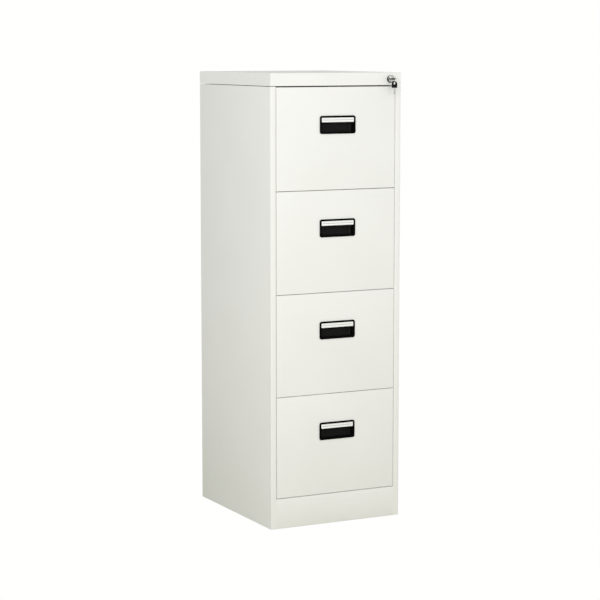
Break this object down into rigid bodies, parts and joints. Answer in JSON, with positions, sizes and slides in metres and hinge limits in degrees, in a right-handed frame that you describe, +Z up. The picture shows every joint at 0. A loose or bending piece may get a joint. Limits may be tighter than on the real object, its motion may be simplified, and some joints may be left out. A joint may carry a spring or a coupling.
{
  "type": "metal filing cabinet",
  "caption": "Tall filing cabinet in white painted folded sheet steel: stacked full-width drawers with recessed black handles and label strips, key lock in the lid.",
  "frame": {"origin": "on the floor under the middle of the body", "axes": "+X right, -Y the way the drawers open, +Z up"},
  "size_m": [0.428, 0.5237, 1.33],
  "materials": {
    "painted_steel": "satin powder coat, fine texture",
    "zinc_steel": "bright zinc plating",
    "black_plastic": "moulded, fine satin",
    "nickel": "polished nickel plating",
    "card": "plain card"
  },
  "bodies": {
    "carcass": {"side_panel_left": "painted_steel", "side_panel_right": "painted_steel", "back_panel": "painted_steel", "top_cover": "painted_steel", "base_plinth": "painted_steel", "slide_upright_front_left": "zinc_steel", "slide_upright_front_right": "zinc_steel", "slide_upright_rear_left": "zinc_steel", "slide_upright_rear_right": "zinc_steel", "cross_rail_1": "zinc_steel", "cross_rail_2": "zinc_steel", "cross_rail_3": "zinc_steel", "lock_housing": "nickel", "drawer_1_slide_outer_left": "zinc_steel", "drawer_1_slide_outer_right": "zinc_steel", "drawer_2_slide_outer_left": "zinc_steel", "drawer_2_slide_outer_right": "zinc_steel", "drawer_3_slide_outer_left": "zinc_steel", "drawer_3_slide_outer_right": "zinc_steel", "drawer_4_slide_outer_left": "zinc_steel", "drawer_4_slide_outer_right": "zinc_steel"},
    "drawer_1": {"drawer_1_front": "painted_steel", "drawer_1_tray": "painted_steel", "drawer_1_handle": "black_plastic", "drawer_1_label": "card", "drawer_1_slide_inner_left": "zinc_steel", "drawer_1_slide_inner_right": "zinc_steel"},
    "slide_mid_1": {"drawer_1_slide_mid_left": "zinc_steel", "drawer_1_slide_mid_right": "zinc_steel"},
    "drawer_2": {"drawer_2_front": "painted_steel", "drawer_2_tray": "painted_steel", "drawer_2_handle": "black_plastic", "drawer_2_label": "card", "drawer_2_slide_inner_left": "zinc_steel", "drawer_2_slide_inner_right": "zinc_steel"},
    "slide_mid_2": {"drawer_2_slide_mid_left": "zinc_steel", "drawer_2_slide_mid_right": "zinc_steel"},
    "drawer_3": {"drawer_3_front": "painted_steel", "drawer_3_tray": "painted_steel", "drawer_3_handle": "black_plastic", "drawer_3_label": "card", "drawer_3_slide_inner_left": "zinc_steel", "drawer_3_slide_inner_right": "zinc_steel"},
    "slide_mid_3": {"drawer_3_slide_mid_left": "zinc_steel", "drawer_3_slide_mid_right": "zinc_steel"},
    "drawer_4": {"drawer_4_front": "painted_steel", "drawer_4_tray": "painted_steel", "drawer_4_handle": "black_plastic", "drawer_4_label": "card", "drawer_4_slide_inner_left": "zinc_steel", "drawer_4_slide_inner_right": "zinc_steel"},
    "slide_mid_4": {"drawer_4_slide_mid_left": "zinc_steel", "drawer_4_slide_mid_right": "zinc_steel"},
    "lock_plug": {"lock_plug": "nickel"},
    "lock_bar": {"lock_bar": "zinc_steel"},
    "key_1": {"key_1_bow": "black_plastic", "key_1_blade": "nickel"},
    "key_ring": {"key_ring": "nickel"},
    "key_2": {"key_2_bow": "black_plastic"}
  },
  "joints": [
    {"name": "drawer_1_slide", "type": "slide", "parent": "carcass", "child": "drawer_1", "axis": [0, -1, 0], "range_m": [0, 0.43]},
    {"name": "drawer_2_slide", "type": "slide", "parent": "carcass", "child": "drawer_2", "axis": [0, -1, 0], "range_m": [0, 0.43]},
    {"name": "drawer_3_slide", "type": "slide", "parent": "carcass", "child": "drawer_3", "axis": [0, -1, 0], "range_m": [0, 0.43]},
    {"name": "drawer_4_slide", "type": "slide", "parent": "carcass", "child": "drawer_4", "axis": [0, -1, 0], "range_m": [0, 0.43]},
    {"name": "drawer_1_slide_mid", "type": "slide", "parent": "carcass", "child": "slide_mid_1", "axis": [0, -1, 0], "range_m": [0, 0.215]},
    {"name": "drawer_2_slide_mid", "type": "slide", "parent": "carcass", "child": "slide_mid_2", "axis": [0, -1, 0], "range_m": [0, 0.215]},
    {"name": "drawer_3_slide_mid", "type": "slide", "parent": "carcass", "child": "slide_mid_3", "axis": [0, -1, 0], "range_m": [0, 0.215]},
    {"name": "drawer_4_slide_mid", "type": "slide", "parent": "carcass", "child": "slide_mid_4", "axis": [0, -1, 0], "range_m": [0, 0.215]},
    {"name": "lock_bar_lift", "type": "slide", "parent": "carcass", "child": "lock_bar", "axis": [0, 0, 1], "range_m": [0, 0.01]},
    {"name": "key_turn", "type": "hinge", "parent": "carcass", "child": "lock_plug", "pos_m": [0.178, -0.246, 1.311], "axis": [0, -1, 0], "range_deg": [0, 90]},
    {"name": "key_1_pull", "type": "slide", "parent": "lock_plug", "child": "key_1", "axis": [0, -1, 0], "range_m": [0, 0.022]},
    {"name": "key_ring_swing", "type": "hinge", "parent": "key_1", "child": "key_ring", "pos_m": [0.178, -0.2657, 1.311], "axis": [0, 0, -1], "range_deg": [0, 90]},
    {"name": "key_2_swing", "type": "hinge", "parent": "key_ring", "child": "key_2", "pos_m": [0.178, -0.2707, 1.30755], "axis": [-1, 0, 0], "range_deg": [0, 90]}
  ],
  "couplings": [
    {"joint": "drawer_1_slide_mid", "follows": "drawer_1_slide", "ratio": 0.5},
    {"joint": "drawer_2_slide_mid", "follows": "drawer_2_slide", "ratio": 0.5},
    {"joint": "drawer_3_slide_mid", "follows": "drawer_3_slide", "ratio": 0.5},
    {"joint": "drawer_4_slide_mid", "follows": "drawer_4_slide", "ratio": 0.5},
    {"joint": "key_turn", "follows": "lock_bar_lift", "rad_per_m": 157.08},
    {"joint": "key_ring_swing", "follows": "lock_bar_lift", "rad_per_m": 157.08},
    {"joint": "key_2_swing", "follows": "lock_bar_lift", "rad_per_m": 157.08}
  ]
}
